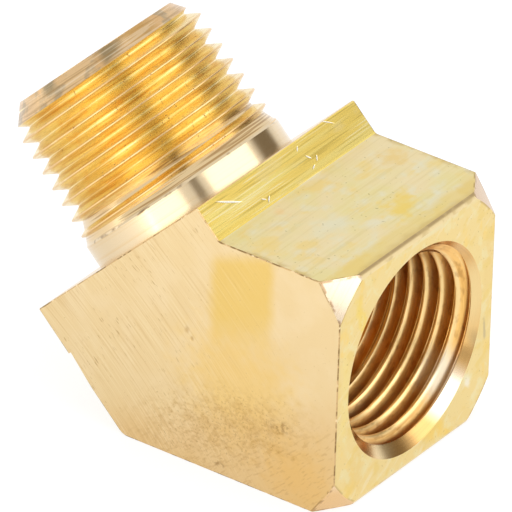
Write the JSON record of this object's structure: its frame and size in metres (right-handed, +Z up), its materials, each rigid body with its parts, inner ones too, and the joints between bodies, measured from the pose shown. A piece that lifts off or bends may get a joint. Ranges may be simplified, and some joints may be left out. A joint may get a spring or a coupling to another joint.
{
  "type": "pipe elbow",
  "caption": "Brass 45 degree street elbow for pipe, cut from an extruded angle bar, with a male tapered thread on one leg and a female tapered thread in the other.",
  "frame": {"origin": "point on the bottom flat straight below the crossing of the two bore axes, midway between the sawn sides", "axes": "+X out of the female port, +Y along the extrusion from one sawn side to the other, +Z up, off the bottom flat that the part stands on; the male end points backwards and up at 45 degrees"},
  "size_m": [0.0354, 0.0204, 0.0301],
  "materials": {
    "brass": "bare yellow brass: drawn flats with die lines, sawn sides with fine saw marks, bright turned threads and neck"
  },
  "bodies": {
    "root": {"street_elbow": "brass"}
  },
  "joints": []
}
